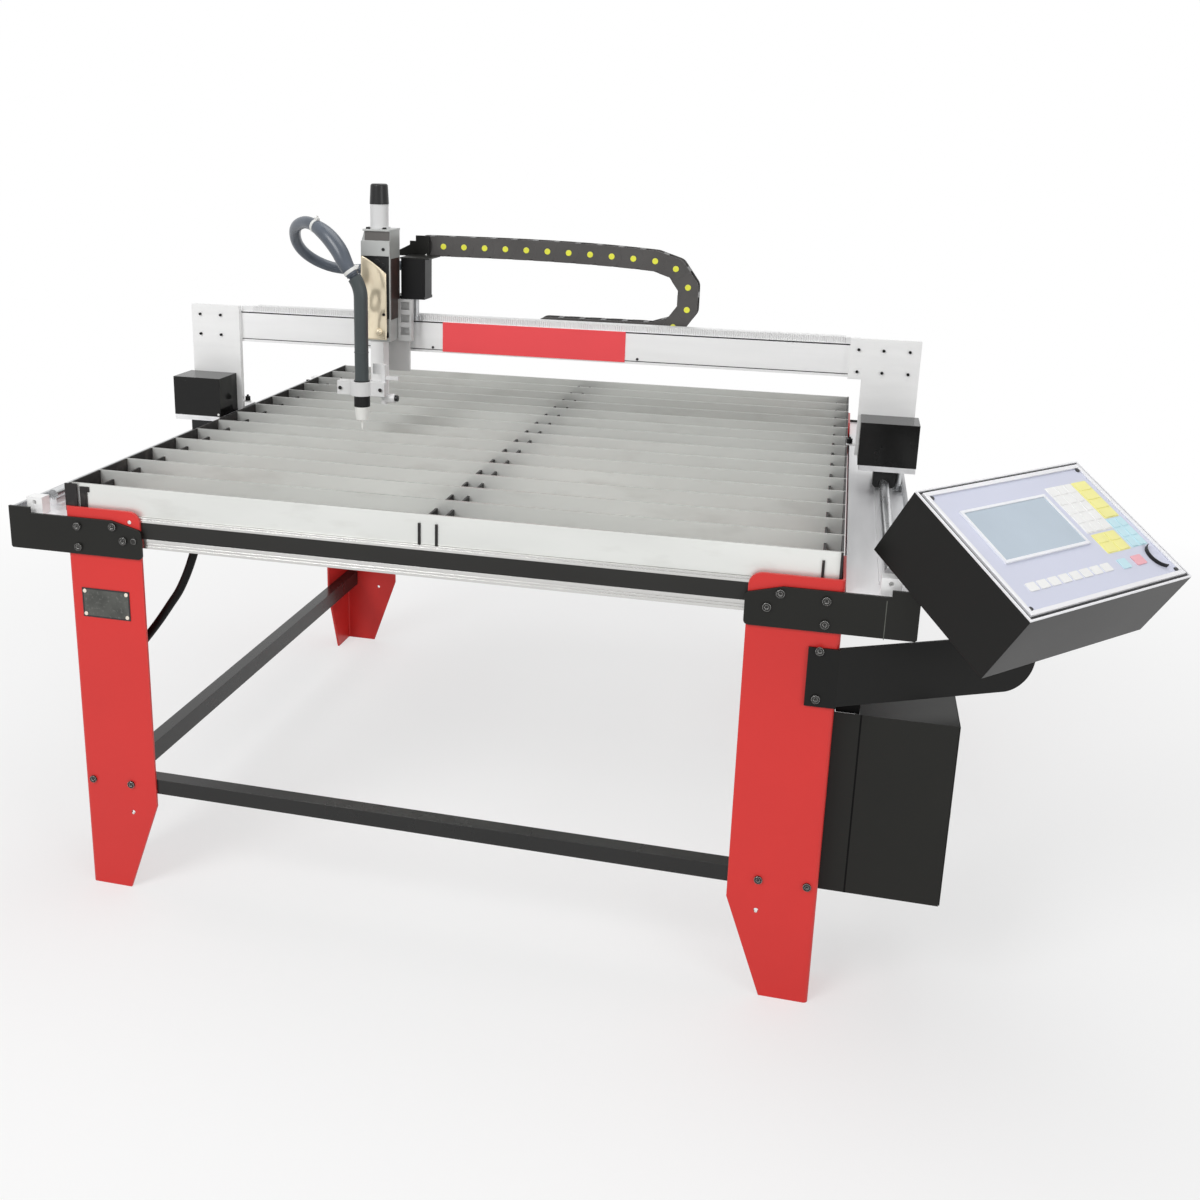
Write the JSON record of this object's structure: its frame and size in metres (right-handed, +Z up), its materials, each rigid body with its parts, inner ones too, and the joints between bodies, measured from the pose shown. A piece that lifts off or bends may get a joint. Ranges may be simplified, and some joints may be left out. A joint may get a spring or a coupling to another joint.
{
  "type": "cnc plasma table",
  "caption": "Floor-standing plasma cutting table: slatted bed on folded sheet legs, rack-driven gantry and carriage, motor lifter with torch, drag chain and sloped operator panel.",
  "frame": {"origin": "centre of the bounding box at floor level", "axes": "+X to the right seen from the operator's side, +Y to the back, +Z up"},
  "size_m": [2.0578, 1.5598, 1.35],
  "materials": {
    "red_paint": "satin powder coat",
    "black_paint": "satin powder coat",
    "aluminium": "satin anodised",
    "slat_steel": "rolled",
    "bright_steel": "ground",
    "plate_metal": "satin",
    "motor_black": "satin",
    "board_red": "printed sheet",
    "cover_gold": "anodised",
    "white_plastic": "smooth",
    "black_plastic": "moulded",
    "chain_plastic": "moulded",
    "hose_rubber": "smooth",
    "cable_rubber": "smooth",
    "torch_plastic": "smooth",
    "panel_paint": "satin",
    "screen_plastic": "clear over grey",
    "key_plastic": "membrane",
    "plate_dark": "satin"
  },
  "bodies": {
    "table": {"leg_front_left": "red_paint", "leg_front_right": "red_paint", "leg_rear_left": "red_paint", "leg_rear_right": "red_paint", "cross_beams": "aluminium", "beam_strips": "black_plastic", "tie_bars": "black_paint", "corner_brackets": "black_paint", "side_profiles": "aluminium", "rail_supports": "aluminium", "rail_shafts": "bright_steel", "racks": "bright_steel", "end_stops": "aluminium", "comb_plates": "black_paint", "comb_bars": "black_paint", "bed_slats": "slat_steel", "leg_plate": "plate_dark", "table_bolts": "bright_steel", "control_arm": "black_paint", "control_box": "black_paint", "control_panel": "panel_paint", "panel_frame": "aluminium", "panel_screen": "screen_plastic", "panel_keys": "key_plastic", "panel_handle": "black_plastic", "cabinet_shell": "black_paint", "cabinet_gear": "aluminium", "cable": "cable_rubber", "cable_glands": "black_plastic"},
    "door": {"cabinet_door": "black_paint"},
    "gantry": {"gantry_beam": "aluminium", "gantry_plates": "plate_metal", "beam_board": "board_red", "base_plates": "aluminium", "bearing_blocks": "black_plastic", "motor_covers": "black_paint", "gantry_motors": "motor_black", "cross_rail": "bright_steel", "cross_rack": "bright_steel", "chain_tray": "black_paint", "gantry_bolts": "bright_steel", "drag_chain": "chain_plastic"},
    "left_pinion": {"pinion_left": "bright_steel"},
    "right_pinion": {"pinion_right": "bright_steel"},
    "carriage": {"carriage_plate": "plate_metal", "rail_blocks": "bright_steel", "carriage_motor": "motor_black", "chain_bracket": "black_paint", "lifter_frame": "plate_metal", "lifter_cover": "cover_gold", "lifter_motor": "white_plastic", "lifter_cap": "black_plastic", "torch_hose": "hose_rubber"},
    "cross_pinion": {"pinion_cross": "bright_steel"},
    "screw": {"lifter_screw": "bright_steel"},
    "torch": {"torch_slide": "plate_metal", "torch_clamp": "white_plastic", "torch_tube": "torch_plastic", "torch_head": "black_plastic", "torch_cup": "white_plastic"}
  },
  "joints": [
    {"name": "gantry_slide", "type": "slide", "parent": "table", "child": "gantry", "axis": [0, 1, 0], "range_m": [-0.5, 0.48]},
    {"name": "carriage_slide", "type": "slide", "parent": "gantry", "child": "carriage", "axis": [1, 0, 0], "range_m": [-0.27, 0.9], "deforming": ["drag_chain"]},
    {"name": "torch_slide", "type": "slide", "parent": "carriage", "child": "torch", "axis": [0, 0, 1], "range_m": [-0.005, 0.085], "deforming": ["torch_hose"]},
    {"name": "door_hinge", "type": "hinge", "parent": "table", "child": "door", "pos_m": [0.70814, -0.32911, 0.37], "axis": [0, 0, 1], "range_deg": [0, 110]},
    {"name": "left_pinion_spin", "type": "hinge", "parent": "gantry", "child": "left_pinion", "pos_m": [-0.99886, 0.08589, 0.765], "axis": [0, 0, 1], "range_deg": [-3300, 3300]},
    {"name": "right_pinion_spin", "type": "hinge", "parent": "gantry", "child": "right_pinion", "pos_m": [0.60114, 0.08589, 0.765], "axis": [0, 0, 1], "range_deg": [-3300, 3300]},
    {"name": "cross_pinion_spin", "type": "hinge", "parent": "carriage", "child": "cross_pinion", "pos_m": [-0.46686, 0.13487, 1.063], "axis": [0, 0, 1], "range_deg": [-1800, 5900]},
    {"name": "screw_spin", "type": "hinge", "parent": "carriage", "child": "screw", "pos_m": [-0.53186, 0.09689, 1.1], "axis": [0, 0, 1], "range_deg": [-200, 3100]}
  ],
  "couplings": [
    {"joint": "left_pinion_spin", "follows": "gantry_slide", "rad_per_m": 111.11},
    {"joint": "right_pinion_spin", "follows": "gantry_slide", "rad_per_m": -111.11},
    {"joint": "cross_pinion_spin", "follows": "carriage_slide", "rad_per_m": 111.11},
    {"joint": "screw_spin", "follows": "torch_slide", "rad_per_m": 628.32}
  ]
}
